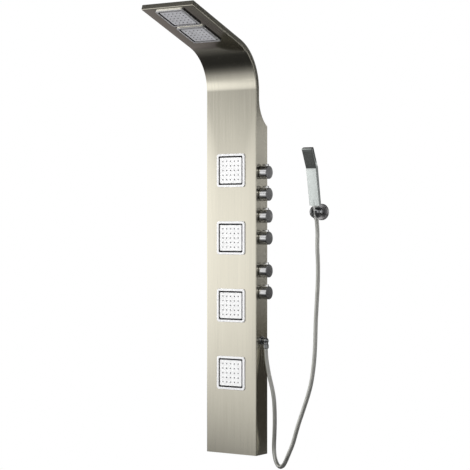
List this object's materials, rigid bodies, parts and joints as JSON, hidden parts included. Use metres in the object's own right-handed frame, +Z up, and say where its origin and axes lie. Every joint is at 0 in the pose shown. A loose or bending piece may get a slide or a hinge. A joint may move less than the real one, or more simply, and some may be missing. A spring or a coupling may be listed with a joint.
{
  "type": "shower panel column",
  "caption": "Wall-hung shower panel column with a forward-leaning overhead arm, square spray plates, side knobs and a hand shower on a hose beside it.",
  "frame": {"origin": "middle of the upper wall bracket's two screw slots, on the wall plane", "axes": "+X to the right seen from the front, +Y into the wall, +Z up"},
  "size_m": [0.44, 0.4338, 1.5117],
  "materials": {
    "brushed_panel": "brushed",
    "dark_sheet": "satin",
    "zinc_steel": "matte",
    "chrome_trim": "polished",
    "white_plate": "gloss",
    "grey_rubber": "matte",
    "grey_plastic": "matte",
    "brass_fitting": "satin",
    "copper_pipe": "satin",
    "hose_steel": "satin",
    "handset_chrome": "polished",
    "dark_plastic": "matte"
  },
  "bodies": {
    "panel": {"front_panel": "brushed_panel", "arm_cover": "dark_sheet", "bottom_cap": "dark_sheet", "wall_bracket_upper": "zinc_steel", "wall_bracket_lower": "zinc_steel", "panel_hangers": "zinc_steel", "jet_1_bezel": "chrome_trim", "jet_2_bezel": "chrome_trim", "jet_3_bezel": "chrome_trim", "jet_4_bezel": "chrome_trim", "head_1_bezel": "chrome_trim", "head_2_bezel": "chrome_trim", "spray_housings": "grey_plastic", "valve_cartridges": "brass_fitting", "valve_gland_nuts": "brass_fitting", "valve_manifold": "brass_fitting", "supply_inlets": "brass_fitting", "body_jet_pipe": "copper_pipe", "overhead_pipe": "copper_pipe", "handset_pipe": "copper_pipe", "outlet_elbow": "chrome_trim", "hose_nut": "chrome_trim", "hose": "hose_steel", "holder_base": "chrome_trim", "holder_rose": "chrome_trim", "holder_cradle": "chrome_trim"},
    "jet_1_spray": {"jet_1_plate": "white_plate", "jet_1_nozzle_mat": "grey_rubber", "jet_1_plate_back": "grey_plastic"},
    "jet_2_spray": {"jet_2_plate": "white_plate", "jet_2_nozzle_mat": "grey_rubber", "jet_2_plate_back": "grey_plastic"},
    "jet_3_spray": {"jet_3_plate": "white_plate", "jet_3_nozzle_mat": "grey_rubber", "jet_3_plate_back": "grey_plastic"},
    "jet_4_spray": {"jet_4_plate": "white_plate", "jet_4_nozzle_mat": "grey_rubber", "jet_4_plate_back": "grey_plastic"},
    "head_1_spray": {"head_1_plate": "white_plate", "head_1_nozzle_mat": "grey_rubber", "head_1_plate_back": "grey_plastic"},
    "head_2_spray": {"head_2_plate": "white_plate", "head_2_nozzle_mat": "grey_rubber", "head_2_plate_back": "grey_plastic"},
    "valve_knob_1": {"knob_1": "chrome_trim", "spindle_1": "brass_fitting"},
    "valve_knob_2": {"knob_2": "chrome_trim", "spindle_2": "brass_fitting"},
    "valve_knob_3": {"knob_3": "chrome_trim", "spindle_3": "brass_fitting"},
    "valve_knob_4": {"knob_4": "chrome_trim", "spindle_4": "brass_fitting"},
    "valve_knob_5": {"knob_5": "chrome_trim", "spindle_5": "brass_fitting"},
    "valve_knob_6": {"knob_6": "chrome_trim", "spindle_6": "brass_fitting"},
    "hand_shower": {"cone_nut": "chrome_trim", "handset_shell": "handset_chrome", "handset_face": "dark_plastic", "handset_nozzles": "grey_rubber"}
  },
  "joints": [
    {"name": "jet_1_tilt", "type": "hinge", "parent": "panel", "child": "jet_1_spray", "pos_m": [0, -0.0615, -0.769], "axis": [1, 0, 0], "range_deg": [-6, 6]},
    {"name": "jet_2_tilt", "type": "hinge", "parent": "panel", "child": "jet_2_spray", "pos_m": [0, -0.0615, -0.5426], "axis": [1, 0, 0], "range_deg": [-6, 6]},
    {"name": "jet_3_tilt", "type": "hinge", "parent": "panel", "child": "jet_3_spray", "pos_m": [0, -0.0615, -0.3162], "axis": [1, 0, 0], "range_deg": [-6, 6]},
    {"name": "jet_4_tilt", "type": "hinge", "parent": "panel", "child": "jet_4_spray", "pos_m": [0, -0.0615, -0.0898], "axis": [1, 0, 0], "range_deg": [-6, 6]},
    {"name": "head_1_tilt", "type": "hinge", "parent": "panel", "child": "head_1_spray", "pos_m": [0, -0.36839, 0.39828], "axis": [1, 0, 0], "range_deg": [-6, 6]},
    {"name": "head_2_tilt", "type": "hinge", "parent": "panel", "child": "head_2_spray", "pos_m": [0, -0.25327, 0.35638], "axis": [1, 0, 0], "range_deg": [-6, 6]},
    {"name": "knob_1_turn", "type": "hinge", "parent": "panel", "child": "valve_knob_1", "pos_m": [0.1, -0.035, -0.0974], "axis": [1, 0, 0], "range_deg": [0, 90]},
    {"name": "knob_2_turn", "type": "hinge", "parent": "panel", "child": "valve_knob_2", "pos_m": [0.1, -0.035, -0.1704], "axis": [1, 0, 0], "range_deg": [0, 90]},
    {"name": "knob_3_turn", "type": "hinge", "parent": "panel", "child": "valve_knob_3", "pos_m": [0.1, -0.035, -0.2434], "axis": [1, 0, 0], "range_deg": [0, 90]},
    {"name": "knob_4_turn", "type": "hinge", "parent": "panel", "child": "valve_knob_4", "pos_m": [0.1, -0.035, -0.3164], "axis": [1, 0, 0], "range_deg": [0, 90]},
    {"name": "knob_5_turn", "type": "hinge", "parent": "panel", "child": "valve_knob_5", "pos_m": [0.1, -0.035, -0.4254], "axis": [1, 0, 0], "range_deg": [0, 90]},
    {"name": "knob_6_turn", "type": "hinge", "parent": "panel", "child": "valve_knob_6", "pos_m": [0.1, -0.035, -0.4984], "axis": [1, 0, 0], "range_deg": [0, 90]},
    {"name": "handset_turn", "type": "hinge", "parent": "panel", "child": "hand_shower", "pos_m": [0.313, -0.038, -0.23], "axis": [0, -0.1736, 0.9848], "range_deg": [-90, 90]}
  ]
}
